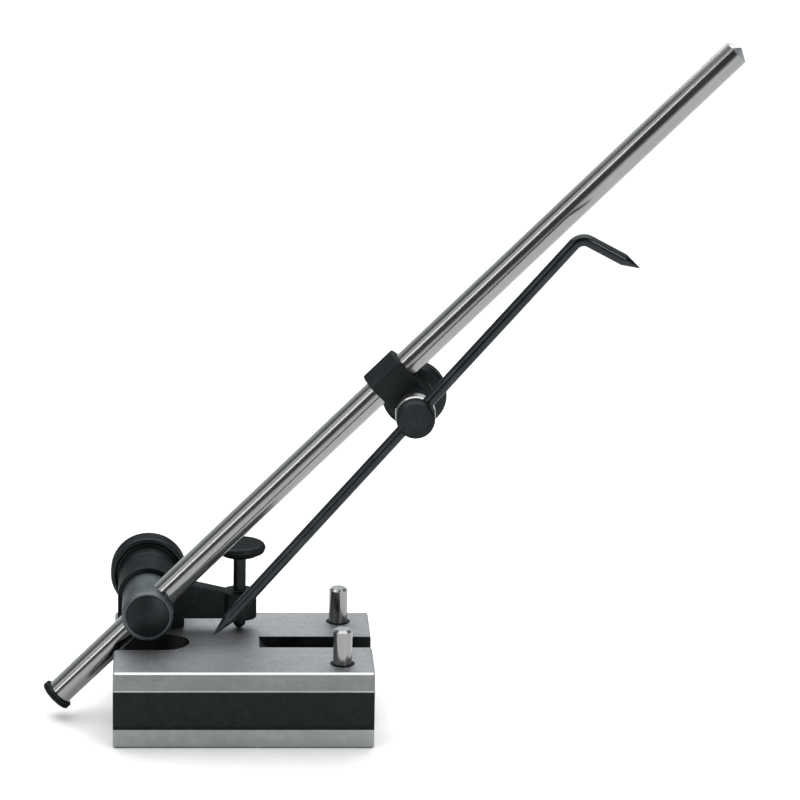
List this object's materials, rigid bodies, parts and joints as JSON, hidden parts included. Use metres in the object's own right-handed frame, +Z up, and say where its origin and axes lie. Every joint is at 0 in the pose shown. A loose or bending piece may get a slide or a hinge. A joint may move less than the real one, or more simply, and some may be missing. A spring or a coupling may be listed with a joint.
{
  "type": "universal surface gauge",
  "caption": "Universal surface gauge: ground steel base with guide pins, black rocking bracket and swivel, leaning steel spindle, and a clamp holding a bent scriber.",
  "frame": {"origin": "middle of the base's underside, on the centre line of its V groove", "axes": "+X along the base towards the guide pins, +Y to the back where the swivel nut is, +Z up"},
  "size_m": [0.2172, 0.0723, 0.2202],
  "materials": {
    "ground_steel": "fine ground steel with bright bevels; the recessed side bands are black",
    "polished_steel": "polished round steel",
    "black_oxide": "satin black oxide on steel",
    "dark_sleeve": "dark grey oxide, a little lighter than the other black pieces",
    "bright_steel": "turned bright steel",
    "spring_steel": "spring wire",
    "brass": "turned brass"
  },
  "bodies": {
    "base": {"base_block": "ground_steel", "pivot_pin": "bright_steel", "rocker_spring": "spring_steel", "pin_brake_plugs": "brass", "pin_grub_screws": "black_oxide"},
    "rocker": {"rocker_bracket": "black_oxide", "swivel_washer": "bright_steel"},
    "adjust_screw": {"adjust_stem": "black_oxide"},
    "adjust_head": {"adjust_knob": "black_oxide"},
    "swivel": {"swivel_bolt": "black_oxide", "swivel_sleeve": "dark_sleeve"},
    "swivel_nut": {"swivel_nut": "black_oxide"},
    "spindle": {"spindle_rod": "polished_steel", "spindle_collar": "black_oxide"},
    "clamp": {"clamp_body": "black_oxide", "clamp_washer": "bright_steel"},
    "scriber_holder": {"clamp_bolt": "black_oxide", "clamp_ring": "bright_steel"},
    "clamp_nut": {"clamp_nut": "black_oxide"},
    "scriber": {"scriber": "black_oxide"},
    "front_pin": {"guide_pin_front": "polished_steel"},
    "rear_pin": {"guide_pin_rear": "polished_steel"}
  },
  "joints": [
    {"name": "rocker_tilt", "type": "hinge", "parent": "base", "child": "rocker", "pos_m": [-0.029, 0.0185, 0.019], "axis": [0, 1, 0], "range_deg": [-3, 3], "deforming": ["rocker_spring"]},
    {"name": "screw_feed", "type": "slide", "parent": "rocker", "child": "adjust_screw", "axis": [0, 0, 1], "range_m": [-0.0016, 0.0016]},
    {"name": "screw_turn", "type": "hinge", "parent": "adjust_screw", "child": "adjust_head", "pos_m": [-0.001, 0.0148, 0.05], "axis": [0, 0, 1], "range_deg": [-760, 760]},
    {"name": "swivel_swing", "type": "hinge", "parent": "rocker", "child": "swivel", "pos_m": [-0.0303, 0, 0.0361], "axis": [0, 1, 0], "range_deg": [-52, 10]},
    {"name": "swivel_nut_turn", "type": "hinge", "parent": "swivel", "child": "swivel_nut", "pos_m": [-0.0303, 0.035, 0.0361], "axis": [0, 1, 0], "range_deg": [0, 180]},
    {"name": "spindle_slide", "type": "slide", "parent": "swivel", "child": "spindle", "axis": [-0.7071, 0, -0.7071], "range_m": [-0.03, 0.003]},
    {"name": "clamp_slide", "type": "slide", "parent": "spindle", "child": "clamp", "axis": [0.7071, 0, 0.7071], "range_m": [-0.005, 0.14]},
    {"name": "scriber_turn", "type": "hinge", "parent": "clamp", "child": "scriber_holder", "pos_m": [0.05334, -0.00054, 0.10505], "axis": [0.037, 0.9986, -0.037], "range_deg": [-3, 110]},
    {"name": "clamp_nut_turn", "type": "hinge", "parent": "scriber_holder", "child": "clamp_nut", "pos_m": [0.05371, 0.00944, 0.10468], "axis": [0.037, 0.9986, -0.037], "range_deg": [0, 180]},
    {"name": "scriber_slide", "type": "slide", "parent": "scriber_holder", "child": "scriber", "axis": [0.6561, 0.0037, 0.7546], "range_m": [-0.005, 0.08]},
    {"name": "front_pin_slide", "type": "slide", "parent": "base", "child": "front_pin", "axis": [0, 0, 1], "range_m": [-0.01, 0.002]},
    {"name": "rear_pin_slide", "type": "slide", "parent": "base", "child": "rear_pin", "axis": [0, 0, 1], "range_m": [-0.01, 0.002]}
  ],
  "couplings": [
    {"joint": "screw_feed", "follows": "rocker_tilt", "m_per_rad": 0.028},
    {"joint": "screw_turn", "follows": "rocker_tilt", "ratio": 251.33}
  ]
}
